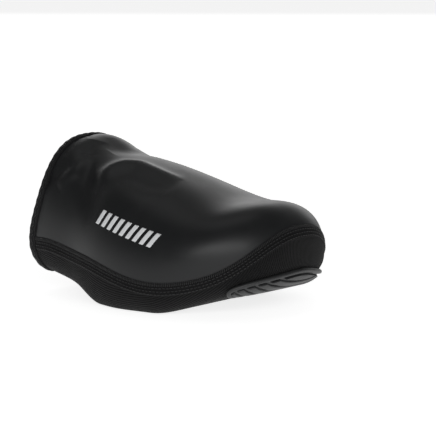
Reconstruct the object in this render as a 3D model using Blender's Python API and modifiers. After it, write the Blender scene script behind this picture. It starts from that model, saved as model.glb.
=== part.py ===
"""Cycling toe cover for a right shoe, empty and standing on the ball of its sole.

A stretch sleeve for the front half of a cycling shoe: a coated upper, a ribbed woven sole that
rolls up the sides to the seam, a folded tape round the collar and a rubber guard under the toe.

Frame: metres, +X to the toe, -Y to the outer side of the foot, +Z up. The origin is on the floor
below the middle of the bounding box. Sizes below are in millimetres, and a distance along the
cover counts forward from the rear edge of its skin.
"""

from collections import namedtuple

import bmesh
import bpy
import numpy as np

MM = 0.001
ORIGIN_ALONG = 87.5
ORIGIN_ACROSS = -2.7

# The form of the foot and shoe inside, as the outer skin of the cover
LENGTH = 168.0
BALL = 104.0
REST_START = 66.0
TOE_SQUARE = 2.35
TOP_SQUARE = 2.5
EDGE_SQUARE = 2 / 0.9
LEAN_REACH = 70.0

Width = namedtuple("Width", "along outer inner")
WIDTHS = (
    Width(0, 41.2, 38.0),
    Width(20, 43.6, 41.0),
    Width(42, 45.0, 45.0),
    Width(REST_START, 51.3, 49.5),
    Width(BALL, 56.7, 53.0),
)

# widest and edge belong to the rolled edge of the sole, top and seam are heights over the floor,
# centre is how far the middle of the section lies to the inner side
Section = namedtuple("Section", "along widest edge top centre seam")
SECTIONS = (
    Section(0, 16.3, 14.0, 87.5, 2.0, 31.2),
    Section(20, 19.1, 13.6, 86.3, 0.5, 32.0),
    Section(42, 20.3, 14.0, 80.5, -1.5, 29.2),
    Section(REST_START, 19.6, 10.0, 76.5, -2.5, 26.2),
    Section(BALL, 20.1, 12.3, 66.2, -1.0, 18.8),
    Section(132, 20.1, 13.3, 61.8, 2.0, 20.8),
    Section(156, 15.4, 12.5, 69.8, 5.0, 33.5),
    Section(LENGTH, 10.7, 12.9, 71.0, 7.0, 47.8),
)

# How far the sole rises from the floor: behind the resting ball under the arch, ahead of it at the toe
Rise = namedtuple("Rise", "along height")
ARCH_RISE = (Rise(0, 12.7), Rise(20, 10.5), Rise(42, 5.8), Rise(REST_START, 0))
TOE_SPRING = (Rise(BALL, 0), Rise(132, 6.9), Rise(156, 15.1), Rise(LENGTH, 19.4))

# How far the collar edge leans forward, by height over the sole
Lean = namedtuple("Lean", "height forward")
COLLAR_LEAN = (Lean(0, 10.6), Lean(16, 5.9), Lean(36, 9.2), Lean(56, 12.6), Lean(76, 13.6))

# Walls and details
UPPER_WALL = 1.8
SOLE_WALL = 1.8
GAP = 0.3
SEAM_BAND = 6.5
SEAM_STEP = 0.5
REAR_EDGE = 1.6
TAPE_WIDTH = 5.5
TAPE_THICK = 1.0
TAPE_BEVEL = 1.0
FOLD_ROUND = 0.3
CLEAT_MIDDLE = 86.0
CLEAT_LENGTH = 60.0
CLEAT_WIDTH = 54.0
CLEAT_SQUARE = 2.6
GUARD_REAR = 140.5
GUARD_WIDEST = 146.0
GUARD_TIP = 174.7
GUARD_HALF = 44.3
GUARD_MIDDLE = 2.0
GUARD_SQUARE = 1.73
GUARD_THICK = 2.2
GUARD_BASE = 0.9
GUARD_FEATHER = 0.35
GUARD_RAMP = 16.0
RIM_WIDTH = 2.3
CHANNEL_WIDTH = 1.1
GROOVES = 5
FIRST_GROOVE = 6.5
RIB_PITCH = 4.8
GROOVE_WIDTH = 1.2

# Resolution of the faceted solids
FAN_SHARE = 0.45
SAMPLES = 60
UPPER_ROWS = 11
SIDE_ROWS = 6
SIDE_STATIONS = 7
BALL_STATIONS = 5
TOE_COLUMNS = 13
NARROW_ROW = 2.0
MERGE = 0.02
SHARP_ANGLE = 40
CUTTER_SIDES = 36
CUTTER_DEPTH = 24.0
GUARD_FRONT_POINTS = 37
GUARD_REAR_POINTS = 23
GROOVE_POINTS = 17
SLICE_ALONG = 3.4
SLICE_ACROSS = 4.7


def curve_through(knots, values, flat_start=False, flat_end=False):
    """Cubic spline through the knots, with no bending or with no slope at its ends."""
    knots = np.array(knots, float)
    values = np.array(values, float)
    span = np.diff(knots)
    slope = np.diff(values) / span
    count = len(knots)
    system = np.zeros((count, count))
    load = np.zeros(count)
    system[0, 0] = 1.0
    system[-1, -1] = 1.0
    if flat_start:
        system[0, :2] = 2 * span[0], span[0]
        load[0] = 6 * slope[0]
    if flat_end:
        system[-1, -2:] = span[-1], 2 * span[-1]
        load[-1] = -6 * slope[-1]
    for i in range(1, count - 1):
        system[i, i - 1 : i + 2] = span[i - 1], 2 * (span[i - 1] + span[i]), span[i]
        load[i] = 6 * (slope[i] - slope[i - 1])
    bend = np.linalg.solve(system, load)

    def at(x):
        x = np.clip(x, knots[0], knots[-1])
        i = np.clip(np.searchsorted(knots, x) - 1, 0, count - 2)
        after = x - knots[i]
        before = knots[i + 1] - x
        cubic = (bend[i] * before**3 + bend[i + 1] * after**3) / (6 * span[i])
        start = (values[i] / span[i] - bend[i] * span[i] / 6) * before
        end = (values[i + 1] / span[i] - bend[i + 1] * span[i] / 6) * after
        return cubic + start + end

    return at


def column_curve(table, name, **ends):
    """Spline of one named column of a table over its first column."""
    return curve_through([row[0] for row in table], [getattr(row, name) for row in table], **ends)


outer_width = column_curve(WIDTHS, "outer", flat_end=True)
inner_width = column_curve(WIDTHS, "inner", flat_end=True)
widest_height = column_curve(SECTIONS, "widest")
edge_width = column_curve(SECTIONS, "edge")
top_height = column_curve(SECTIONS, "top")
centre_line = column_curve(SECTIONS, "centre")
seam_height = column_curve(SECTIONS, "seam")
arch_rise = column_curve(ARCH_RISE, "height", flat_end=True)
toe_spring = column_curve(TOE_SPRING, "height", flat_start=True)
collar_lean = column_curve(COLLAR_LEAN, "forward")


def sole_rise(along):
    """Height of the sole's underside over the floor: nothing between REST_START and the ball."""
    rear = np.where(along < REST_START, arch_rise(along), 0.0)
    return np.where(along > BALL, toe_spring(along), rear)


def eased(along):
    """Place along the cover, slowed at the ball and the tip so that straight and fanned columns
    meet without a crease."""
    for start, end in ((REST_START, BALL), (BALL, LENGTH)):
        share = np.clip((along - start) / (end - start), 0, 1)
        smooth = start + (end - start) * share * share * (3 - 2 * share)
        along = np.where((along > start) & (along <= end), smooth, along)
    return along


def column_at(station, side):
    """Column number of a station behind the ball: -1 and 1 at the collar, 0 at the tip of the toe."""
    return side * (1 - (1 - FAN_SHARE) * station / BALL)


def skin_lines(column):
    """Dense lines of the skin, one a column, from under the foot round the edge to the top.

    Behind the ball a column runs straight out from its station; ahead of it the columns fan round
    the toe from one point, and the toe's outline is a superellipse. Each line is a flat bottom,
    a quarter superellipse up to the widest height, then another over to the top centre.
    """
    column = np.asarray(column, float)[:, None]
    side = np.where(column < 0, -1.0, 1.0)
    turn = np.clip(np.abs(column) / FAN_SHARE, 0, 1) * np.pi / 2
    station = BALL * np.clip((1 - np.abs(column)) / (1 - FAN_SHARE), 0, 1)
    half = np.where(side < 0, outer_width(station), inner_width(station))
    forward = np.cos(turn)
    toe_part = (forward / (LENGTH - BALL)) ** TOE_SQUARE
    side_part = (np.sin(turn) / half) ** TOE_SQUARE
    reach = (toe_part + side_part) ** (-1 / TOE_SQUARE)
    outline = station + reach * forward

    place = eased(outline)
    widest = widest_height(place)
    edge = edge_width(place)
    power = 2 / TOP_SQUARE
    step = np.linspace(0, 1, SAMPLES, endpoint=False)[None]
    round_up = step * np.pi / 2
    over = np.linspace(0, np.pi / 2, 2 * SAMPLES)[None]
    across_top = reach * np.cos(over) ** power
    across_top[:, -1] = 0
    across = np.concatenate(
        [
            step * (reach - edge),
            reach - edge * (1 - np.sin(round_up) ** (2 / EDGE_SQUARE)),
            across_top,
        ],
        axis=1,
    )
    x = station + across * forward
    y = side * across * np.sin(turn)
    top = top_height(x[:, 2 * SAMPLES :]) - sole_rise(x[:, 2 * SAMPLES :])
    height = np.concatenate(
        [
            0 * step * widest,
            widest * (1 - np.cos(round_up) ** (2 / EDGE_SQUARE)),
            widest + (top - widest) * np.sin(over) ** power,
        ],
        axis=1,
    )
    fade = np.clip(1 - x / LEAN_REACH, 0, 1) ** 2
    points = np.stack(
        [x + collar_lean(height) * fade, y + centre_line(x), height + sole_rise(x)], axis=2
    )
    legs = np.linalg.norm(np.diff(points, axis=1), axis=2)
    arc = np.concatenate([np.zeros((len(points), 1)), np.cumsum(legs, axis=1)], axis=1)
    return points, arc, outline[:, 0]


def skin(column, arc):
    """Points of the skin at a distance along each column's line."""
    lines, arcs, _ = skin_lines(column)
    shift = np.arange(len(arcs))[:, None] * (arcs.max() + 1)
    wanted = (np.clip(arc, 0, arcs[:, -1]) + shift[:, 0]).ravel()
    axes = [np.interp(wanted, (arcs + shift).ravel(), lines[..., i].ravel()) for i in range(3)]
    return np.stack(axes, axis=1)


def skin_normal(column, arc):
    """Outward normals of the skin, from its slopes along and across the columns."""
    step = 0.5
    turn = 0.002
    clear_of_poles = 2.0
    column = np.asarray(column, float)
    _, arcs, _ = skin_lines(column)
    arc = np.clip(arc, clear_of_poles, arcs[:, -1] - clear_of_poles)
    along = skin(np.clip(column + turn, -1, 1), arc) - skin(np.clip(column - turn, -1, 1), arc)
    up = skin(column, arc + step) - skin(column, arc - step)
    normal = np.cross(along, up)
    return normal / np.linalg.norm(normal, axis=1, keepdims=True)


def marks(column):
    """Distances along each column's line to the end of the flat bottom, the seam and the top."""
    lines, arcs, outline = skin_lines(column)
    flat = arcs[:, SAMPLES]
    heights = np.maximum.accumulate(lines[:, SAMPLES:, 2], axis=1)
    seam = [
        np.interp(wanted, rising, arc)
        for wanted, rising, arc in zip(seam_height(outline), heights, arcs[:, SAMPLES:])
    ]
    return flat, np.array(seam), arcs[:, -1]


def upper_rows(column):
    """Distances of the upper's rows, from the seam to the top centre."""
    _, seam, top = marks(column)
    start = seam + GAP / 2
    share = np.linspace(0, 1, UPPER_ROWS)[None]
    rest = (start + NARROW_ROW)[:, None] + share * (top - start - NARROW_ROW)[:, None]
    return np.concatenate([start[:, None], rest], axis=1)


def sole_rows(column):
    """Distances of the sole's rows, from under the foot to the seam."""
    flat, seam, _ = marks(column)
    end = seam - GAP / 2
    band = end - SEAM_BAND
    bottom = np.array([0, 0.5])[None] * flat[:, None]
    side = flat[:, None] + np.linspace(0, 1, SIDE_ROWS)[None] * (band - flat)[:, None]
    seam_band = np.stack([band + SEAM_STEP, end - NARROW_ROW, end], axis=1)
    return np.concatenate([bottom, side, seam_band], axis=1)


def all_columns():
    """Columns of both walls: from the collar past the tape's edge, along the side, round the toe."""
    behind = REAR_EDGE + TAPE_WIDTH + 0.5
    next_behind = 2 * behind
    side = np.linspace(next_behind, REST_START, SIDE_STATIONS)
    ball = np.linspace(REST_START, BALL, BALL_STATIONS)[1:-1]
    stations = np.concatenate([[REAR_EDGE, behind], side, ball])
    fan = np.linspace(FAN_SHARE, 0, TOE_COLUMNS)
    outer = np.concatenate([column_at(stations, -1), -fan])
    return np.concatenate([outer, -outer[:-1][::-1]])


def add_object(name, points, faces, collection):
    """Mesh object from points in millimetres, moved to the part's origin."""
    mesh = bpy.data.meshes.new(name)
    placed = (np.asarray(points) - [ORIGIN_ALONG, ORIGIN_ACROSS, 0]) * MM
    mesh.from_pydata(placed.tolist(), [], faces)
    thing = bpy.data.objects.new(name, mesh)
    collection.objects.link(thing)
    return thing


def grid_faces(across, along, ring=False):
    """Quads of a grid of points, with its first index closed to a ring where asked."""
    faces = []
    for i in range(across if ring else across - 1):
        j = (i + 1) % across
        for k in range(along - 1):
            faces.append((i * along + k, j * along + k, j * along + k + 1, i * along + k + 1))
    return faces


def merge_and_smooth(thing):
    """Joins the rows that meet on the centre line, and shades the piece smooth."""
    work = bmesh.new()
    work.from_mesh(thing.data)
    bmesh.ops.remove_doubles(work, verts=work.verts, dist=MERGE * MM)
    bmesh.ops.recalc_face_normals(work, faces=work.faces)
    work.to_mesh(thing.data)
    work.free()
    thing.data.shade_smooth()
    thing.data.set_sharp_from_angle(angle=np.radians(SHARP_ANGLE))


def fabric_wall(name, rows, step, thickness, collection):
    """One wall of fabric: its outer skin on the columns and rows, thickened inward."""
    columns = all_columns()
    arcs = rows(columns)
    column_grid = np.repeat(columns, arcs.shape[1])
    points = skin(column_grid, arcs.ravel())
    points += skin_normal(column_grid, arcs.ravel()) * step(columns, arcs).ravel()[:, None]
    wall = add_object(name, points, grid_faces(len(columns), arcs.shape[1]), collection)
    merge_and_smooth(wall)
    solid = wall.modifiers.new("wall", "SOLIDIFY")
    solid.thickness = thickness * MM
    solid.offset = -1
    return wall


def no_step(columns, arcs):
    """The upper has no raised rows."""
    return np.zeros_like(arcs)


def seam_step(columns, arcs):
    """The sole's flatlock band stands proud along its last two rows, but not under the tape."""
    step = np.zeros_like(arcs)
    clear_of_tape = np.abs(columns) < column_at(REAR_EDGE + TAPE_WIDTH + 1, 1)
    step[clear_of_tape, -3:] = SEAM_STEP
    return step


def material(name, colour, roughness):
    """Plain finish of one piece."""
    finish = bpy.data.materials.new(name)
    finish.use_nodes = True
    shader = finish.node_tree.nodes["Principled BSDF"]
    shader.inputs["Base Color"].default_value = (*colour, 1)
    shader.inputs["Roughness"].default_value = roughness
    shader.inputs["Metallic"].default_value = 0
    return finish


def cut(thing, cutter, label):
    """Takes the cutter out of the object."""
    boolean = thing.modifiers.new(label, "BOOLEAN")
    boolean.operation = "DIFFERENCE"
    boolean.object = cutter
    cutter.hide_render = True
    cutter.display_type = "WIRE"


def cleat_cutter(collection):
    """Prism of the cleat opening: an oval squarer than an ellipse."""
    centre = float(centre_line(CLEAT_MIDDLE))
    work = bmesh.new()
    bmesh.ops.create_cone(
        work, cap_ends=True, segments=CUTTER_SIDES, radius1=1, radius2=1, depth=CUTTER_DEPTH * MM
    )
    for vertex in work.verts:
        round_x = np.sign(vertex.co.x) * abs(vertex.co.x) ** (2 / CLEAT_SQUARE)
        round_y = np.sign(vertex.co.y) * abs(vertex.co.y) ** (2 / CLEAT_SQUARE)
        vertex.co.x = (CLEAT_MIDDLE - ORIGIN_ALONG + CLEAT_LENGTH / 2 * round_x) * MM
        vertex.co.y = (centre - ORIGIN_ACROSS + CLEAT_WIDTH / 2 * round_y) * MM
    mesh = bpy.data.meshes.new("cleat_cutter")
    work.to_mesh(mesh)
    work.free()
    cutter = bpy.data.objects.new("cleat_cutter", mesh)
    collection.objects.link(cutter)
    return cutter


def collar_binding(collection):
    """Folded tape: a ring of U sections over the rear edge of upper and sole.

    Each corner of the section has a distance forward on the skin and one outward from it. Behind
    the edge the skin is carried on straight.
    """
    out = GAP + TAPE_THICK
    inside = -UPPER_WALL - GAP
    middle = -UPPER_WALL / 2
    section = (
        (TAPE_WIDTH, GAP),
        (TAPE_WIDTH, out - FOLD_ROUND),
        (TAPE_WIDTH - TAPE_BEVEL, out),
        (0, out),
        (-out + FOLD_ROUND, out - 2 * FOLD_ROUND),
        (-out - FOLD_ROUND, middle),
        (-out + FOLD_ROUND, inside - TAPE_THICK + 2 * FOLD_ROUND),
        (0, inside - TAPE_THICK),
        (TAPE_WIDTH, inside - TAPE_THICK),
        (TAPE_WIDTH, inside),
        (-GAP, inside),
        (-GAP, GAP),
    )
    loops = []
    for forward, outward in section:
        on_skin = REAR_EDGE + max(forward, 0)
        halves = []
        for side in (-1, 1):
            column = column_at(np.array([on_skin]), side)
            arcs = np.concatenate([sole_rows(column)[0, :-1], upper_rows(column)[0]])
            columns = np.full(len(arcs), column[0])
            points = skin(columns, arcs)
            ahead = skin(np.full(len(arcs), column_at(on_skin + 1, side)), arcs) - points
            ahead /= np.linalg.norm(ahead, axis=1, keepdims=True)
            points = points + skin_normal(columns, arcs) * outward + ahead * min(forward, 0)
            halves.append(points)
        outer_half, inner_half = halves
        bottom = (outer_half[:1] + inner_half[:1]) / 2
        top = (outer_half[-1:] + inner_half[-1:]) / 2
        loops.append(np.concatenate([bottom, outer_half[1:-1], top, inner_half[1:-1][::-1]]))
    ring = np.stack(loops, axis=1)
    ring = np.concatenate([ring, ring[:, :1]], axis=1)
    faces = grid_faces(len(ring), ring.shape[1], ring=True)
    tape = add_object("collar_binding", ring.reshape(-1, 3), faces, collection)
    merge_and_smooth(tape)
    return tape


def rear_arc(across):
    """Flat place of the guard's rear edge, bowed to the rear, at a distance across the sole."""
    return GUARD_REAR + (GUARD_WIDEST - GUARD_REAR) * (across / GUARD_HALF) ** 2


def guard_outline(inset, smoothings=6):
    """Outline of the toe guard on the flat sole pattern, moved in by an inset.

    The front is half a superellipse and the rear edge an arc; smoothing rounds the two corners.
    """
    turn = np.linspace(-1, 1, GUARD_FRONT_POINTS) * np.pi / 2
    power = 2 / GUARD_SQUARE
    front = np.stack(
        [
            GUARD_WIDEST + (GUARD_TIP - GUARD_WIDEST) * np.abs(np.cos(turn)) ** power,
            GUARD_HALF * np.sign(turn) * np.abs(np.sin(turn)) ** power,
        ],
        axis=1,
    )
    across = np.linspace(1, -1, GUARD_REAR_POINTS)[1:-1] * GUARD_HALF
    rear = np.stack([rear_arc(across), across], axis=1)
    line = np.concatenate([front, rear])
    for _ in range(smoothings):
        line = (np.roll(line, 1, axis=0) + 2 * line + np.roll(line, -1, axis=0)) / 4
    ahead = np.roll(line, -1, axis=0) - np.roll(line, 1, axis=0)
    ahead /= np.linalg.norm(ahead, axis=1, keepdims=True)
    inward = np.stack([-ahead[:, 1], ahead[:, 0]], axis=1)
    return line + [0, GUARD_MIDDLE] + inset * inward


def prism(name, outline, low, high, collection, hole=None):
    """Upright prism of an outline in the flat pattern, or of the band between two outlines."""
    count = len(outline)
    levels = [(outline, low), (outline, high)]
    if hole is not None:
        levels += [(hole, high), (hole, low)]
    points = np.concatenate([np.c_[line, np.full(count, level)] for line, level in levels])
    faces = []
    loops = len(levels)
    for k in range(loops if hole is not None else 1):
        a = k * count
        b = (k + 1) % loops * count
        for i in range(count):
            j = (i + 1) % count
            faces.append((a + i, a + j, b + j, b + i))
    if hole is None:
        faces += [tuple(range(count))[::-1], tuple(range(count, 2 * count))]
    thing = add_object(name, points, faces, collection)
    merge_and_smooth(thing)
    return thing


def groove_outline(number):
    """Strip of one groove between two ribs: an arc bowed to the rear, as wide as GROOVE_WIDTH."""
    across = np.linspace(-1, 1, GROOVE_POINTS) * (GUARD_HALF + GUARD_MIDDLE + 3)
    middle = rear_arc(across) + FIRST_GROOVE + number * RIB_PITCH
    front = np.stack([middle + GROOVE_WIDTH / 2, across], axis=1)
    rear = np.stack([middle - GROOVE_WIDTH / 2, across], axis=1)
    return np.concatenate([front, rear[::-1]])


def toe_guard(collection, cutters):
    """Rubber guard, cut on the flat and wrapped on the toe of the sole.

    A blank as thick as the rim loses a channel just inside the rim and the grooves between the
    ribs. The flat piece is then sliced finely and laid on the skin: its plan becomes a direction
    round the toe and a distance along the skin, its height stands out from the sole.
    """
    blank = prism("toe_guard", guard_outline(0), 0, GUARD_THICK, collection)
    inner = guard_outline(RIM_WIDTH)
    channel = prism(
        "channel_cutter", inner, GUARD_BASE, GUARD_THICK + 2, cutters,
        hole=guard_outline(RIM_WIDTH + CHANNEL_WIDTH),
    )
    cut(blank, channel, "channel")
    for number in range(GROOVES):
        groove = prism(
            f"groove_cutter_{number}", groove_outline(number), GUARD_BASE, GUARD_THICK + 2, cutters
        )
        inside = groove.modifiers.new("inside_rim", "BOOLEAN")
        inside.operation = "INTERSECT"
        inside.object = field_cutter(cutters)
        cut(blank, groove, f"groove_{number}")
    bpy.context.view_layer.update()
    shaped = blank.evaluated_get(bpy.context.evaluated_depsgraph_get())
    mesh = bpy.data.meshes.new_from_object(shaped)
    blank.modifiers.clear()
    wrap_on_toe(mesh)
    blank.data = mesh
    mesh.name = "toe_guard"
    merge_and_smooth(blank)
    return blank


def field_cutter(cutters):
    """Prism of the field inside the channel's middle, which the grooves stay in."""
    known = bpy.data.objects.get("field_cutter")
    if known:
        return known
    outline = guard_outline(RIM_WIDTH + CHANNEL_WIDTH / 2)
    field = prism("field_cutter", outline, GUARD_BASE - 1, GUARD_THICK + 3, cutters)
    field.hide_render = True
    field.display_type = "WIRE"
    return field


def swell(along):
    """Share of the guard's full height: GUARD_FEATHER at its rear edge, one from GUARD_RAMP ahead."""
    share = np.clip((along - GUARD_REAR) / GUARD_RAMP, 0, 1)
    return GUARD_FEATHER + (1 - GUARD_FEATHER) * share * share * (3 - 2 * share)


def wrap_on_toe(mesh):
    """Slices the flat guard into small pieces and lays its points on the toe's skin."""
    work = bmesh.new()
    work.from_mesh(mesh)
    size = GUARD_HALF + GUARD_MIDDLE
    cuts = [((x, 0), (1, 0, 0)) for x in np.arange(GUARD_REAR + 2, GUARD_TIP, SLICE_ALONG)]
    cuts += [((0, y), (0, 1, 0)) for y in np.arange(-size, size, SLICE_ACROSS)]
    for (x, y), direction in cuts:
        place = ((x - ORIGIN_ALONG) * MM, (y - ORIGIN_ACROSS) * MM, 0)
        everything = list(work.verts) + list(work.edges) + list(work.faces)
        bmesh.ops.bisect_plane(work, geom=everything, plane_co=place, plane_no=direction, dist=1e-6)
    bmesh.ops.triangulate(work, faces=work.faces)
    flat = np.array([vertex.co[:] for vertex in work.verts]) / MM + [ORIGIN_ALONG, ORIGIN_ACROSS, 0]
    radius = np.hypot(flat[:, 0] - BALL, flat[:, 1])
    turn = np.arctan2(np.abs(flat[:, 1]), flat[:, 0] - BALL) / (np.pi / 2)
    column = np.where(flat[:, 1] < 0, -1, 1) * turn * FAN_SHARE
    height = GAP + flat[:, 2:] * swell(flat[:, :1])
    placed = skin(column, radius) + skin_normal(column, radius) * height
    placed = (placed - [ORIGIN_ALONG, ORIGIN_ACROSS, 0]) * MM
    for vertex, point in zip(work.verts, placed):
        vertex.co = point
    work.to_mesh(mesh)
    work.free()


def main():
    for thing in list(bpy.data.objects):
        bpy.data.objects.remove(thing, do_unlink=True)
    cover = bpy.data.collections.new("cycling_toe_cover")
    cutters = bpy.data.collections.new("cutters")
    for collection in (cover, cutters):
        bpy.context.scene.collection.children.link(collection)

    upper = fabric_wall("upper", upper_rows, no_step, UPPER_WALL, cover)
    upper.data.materials.append(material("coated_stretch_fabric", (0.02, 0.02, 0.021), 0.45))

    sole = fabric_wall("sole", sole_rows, seam_step, SOLE_WALL, cover)
    cut(sole, cleat_cutter(cutters), "cleat_opening")
    sole.data.materials.append(material("ribbed_woven_fabric", (0.011, 0.011, 0.012), 0.9))

    tape = collar_binding(cover)
    tape.data.materials.append(material("elastic_tape", (0.013, 0.013, 0.014), 0.85))

    guard = toe_guard(cover, cutters)
    guard.data.materials.append(material("moulded_rubber", (0.03, 0.03, 0.031), 0.6))


main()
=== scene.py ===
# %% [markdown]
# # A cycling toe cover
#
# A toe cover is a stretch sleeve that a cyclist pulls over the front half of a shoe, against wind
# and spray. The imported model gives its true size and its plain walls. This lesson puts a detailed
# surface over each wall: a coated upper with the soft creases of a sleeve that stands empty, a
# ribbed sole that rolls up to a flatlock seam, a folded tape round the collar and a rubber guard
# under the toe. Lengths are worked out in millimetres and turned to metres at the very end.

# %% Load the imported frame
from collections import namedtuple

import bmesh
import bpy
import numpy as np
from mathutils import Matrix


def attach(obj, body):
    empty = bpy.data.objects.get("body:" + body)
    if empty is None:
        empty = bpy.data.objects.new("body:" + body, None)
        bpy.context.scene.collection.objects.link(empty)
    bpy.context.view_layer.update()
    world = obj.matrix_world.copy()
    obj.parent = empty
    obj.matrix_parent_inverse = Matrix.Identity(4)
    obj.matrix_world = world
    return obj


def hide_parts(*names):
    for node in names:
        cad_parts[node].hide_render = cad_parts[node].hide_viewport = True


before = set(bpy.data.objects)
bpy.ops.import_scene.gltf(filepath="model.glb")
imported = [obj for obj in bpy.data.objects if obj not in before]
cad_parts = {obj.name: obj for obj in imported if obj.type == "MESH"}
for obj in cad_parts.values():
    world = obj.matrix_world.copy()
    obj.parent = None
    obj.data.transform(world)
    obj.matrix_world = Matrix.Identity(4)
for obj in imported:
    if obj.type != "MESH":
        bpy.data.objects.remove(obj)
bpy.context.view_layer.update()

MM = 0.001

# %% [markdown]
# ## From the shoe's own measures to the frame
#
# The maker of such a cover measures forward from its rear edge, to the inner side from the shoe's
# axis, and up from the floor. The frame has its origin below the middle of the part instead, so
# one small function moves points there.

# %% Move points into the frame
ORIGIN_ALONG = 87.5
ORIGIN_ACROSS = -2.7


def in_frame(points):
    """Millimetres on the cover to metres in the frame: less the origin, times 0.001."""
    return (np.asarray(points, float) - [ORIGIN_ALONG, ORIGIN_ACROSS, 0]) * MM


print("rear edge in m:", in_frame([0, 0, 0]).round(4))

# %% [markdown]
# ## Camera
#
# The photograph was taken with a long lens, from the toe's side and a little above. A vanishing
# line fit of the outline gave the two angles, and a distance of 1.4 m fixes the lens. The camera is
# built from its own three axes: right, up and back.

# %% Camera at the photograph's angle
AZIMUTH = np.radians(38.88)
ELEVATION = np.radians(8.556)
DISTANCE = 1400.0
AIM = (90.0, 0.0, 40.0)
AIM_RIGHT = 17.765
AIM_UP = 5.837
LENS = 204.95

back = np.array(
    [
        np.sin(AZIMUTH) * np.cos(ELEVATION),
        -np.cos(AZIMUTH) * np.cos(ELEVATION),
        np.sin(ELEVATION),
    ]
)
right = np.array([np.cos(AZIMUTH), np.sin(AZIMUTH), 0.0])
up = np.cross(back, right)


def turned_to(place, right_axis, up_axis, back_axis):
    """Matrix of an object at a place, with its three axes as columns."""
    matrix = np.eye(4)
    matrix[:3, :3] = np.stack([right_axis, up_axis, back_axis], axis=1)
    matrix[:3, 3] = place
    return Matrix(matrix.tolist())


camera = bpy.data.objects.new("camera", bpy.data.cameras.new("camera"))
camera.data.lens = LENS
camera.data.sensor_width = 36.0
camera.data.clip_end = 50.0
eye = in_frame(np.array(AIM) + back * DISTANCE + right * AIM_RIGHT + up * AIM_UP)
camera.matrix_world = turned_to(eye, right, up, back)
bpy.context.scene.collection.objects.link(camera)
bpy.context.scene.camera = camera
print("camera stands at", eye.round(3))

# %% [markdown]
# ## Colours and nodes
#
# Screens use sRGB and Blender works in linear light, so one function turns hex colours over. A
# second one adds a shader node with its settings and links, and there is no other way in.

# %% Two small helpers for materials
def linear(code):
    """sRGB hex to linear: c / 12.92 for dark channels, else ((c + 0.055) / 1.055) to the 2.4."""
    channels = np.array([int(code[i : i + 2], 16) for i in (1, 3, 5)]) / 255
    dark = channels / 12.92
    light = ((channels + 0.055) / 1.055) ** 2.4
    return (*np.where(channels <= 0.04045, dark, light).tolist(), 1.0)


def add_node(tree, kind, sockets=None, **settings):
    """Adds a node; each named socket takes a number, or another node's output as a link."""
    node = tree.nodes.new(kind)
    for name, value in settings.items():
        setattr(node, name, value)
    for name, value in (sockets or {}).items():
        if isinstance(value, bpy.types.NodeSocket):
            tree.links.new(value, node.inputs[name])
        else:
            node.inputs[name].default_value = value
    return node


def new_material(name):
    """A material with its tree and its Principled shader."""
    material = bpy.data.materials.new(name)
    material.use_nodes = True
    return material, material.node_tree, material.node_tree.nodes["Principled BSDF"]


print("mid grey is", [round(value, 3) for value in linear("#808080")])

# %% [markdown]
# ## Studio
#
# The cover is photographed on white paper under large soft boxes. Black coated fabric shows
# nothing but the reflections of those boxes, so their places make the picture: a wide one behind
# for the bright top line, a wide one in front of the toe for the band above the seam, and a faint
# one overhead.

# %% Floor, world and soft boxes
PAPER_SIZE = 12.0
PAPER_LEVEL = -0.05 * MM
PAPER_GLOW = 0.8
WORLD_LIGHT = 0.12


def studio_paper():
    """Matt white paper on a light table: mostly its own glow, with a faint shadow left on it."""
    material, _, shader = new_material("studio_paper_matt")
    shader.inputs["Base Color"].default_value = linear("#d8d8d8")
    shader.inputs["Roughness"].default_value = 0.95
    shader.inputs["Specular IOR Level"].default_value = 0.0
    shader.inputs["Emission Color"].default_value = (1, 1, 1, 1)
    shader.inputs["Emission Strength"].default_value = PAPER_GLOW
    return material


def soft_box(name, place, aim, width, height, power):
    """Area light at a place in metres, turned so that its back points away from its aim."""
    light = bpy.data.lights.new(name, "AREA")
    light.shape = "RECTANGLE"
    light.size = width
    light.size_y = height
    light.energy = power
    lamp = bpy.data.objects.new(name, light)
    away = np.array(place, float) - np.array(aim, float)
    away /= np.linalg.norm(away)
    side = np.cross([0.0, 0.0, 1.0], away)
    side /= np.linalg.norm(side)
    lamp.matrix_world = turned_to(place, side, np.cross(away, side), away)
    bpy.context.scene.collection.objects.link(lamp)
    return lamp


paper_mesh = bpy.data.meshes.new("floor")
half_paper = PAPER_SIZE / 2
paper_mesh.from_pydata(
    [(x, y, PAPER_LEVEL) for x, y in ((-1, -1), (1, -1), (1, 1), (-1, 1))],
    [],
    [(0, 1, 2, 3)],
)
paper_mesh.transform(Matrix.Diagonal((half_paper, half_paper, 1, 1)))
paper = bpy.data.objects.new("floor", paper_mesh)
paper_mesh.materials.append(studio_paper())
bpy.context.scene.collection.objects.link(paper)

world = bpy.data.worlds.new("studio")
world.use_nodes = True
world.node_tree.nodes["Background"].inputs["Color"].default_value = (1, 1, 1, 1)
world.node_tree.nodes["Background"].inputs["Strength"].default_value = WORLD_LIGHT
bpy.context.scene.world = world
bpy.context.scene.view_settings.view_transform = "Standard"

SoftBox = namedtuple("SoftBox", "name place aim width height power")
SOFT_BOXES = (
    SoftBox("backdrop_box", (-1.35, 1.75, 0.75), (0, 0, 0.1), 3.4, 1.0, 16),
    SoftBox("front_box", (1.35, -1.5, 0.8), (0, 0, 0.04), 2.6, 0.7, 24),
    SoftBox("overhead_box", (-0.2, 0.2, 1.6), (0, 0, 0.03), 1.0, 1.0, 1.5),
)
for box in SOFT_BOXES:
    soft_box(*box)
print("lights:", [item.name for item in bpy.data.lights])

# %% [markdown]
# ## The form of the foot inside
#
# A stretch sleeve takes the form of the shoe it is cut for. That form is a table of sections along
# the foot with smooth splines between them: how wide each is on the outer and the inner side, how
# high its widest place, its top and its seam lie, and how broad the rolled edge of the sole is.

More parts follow.
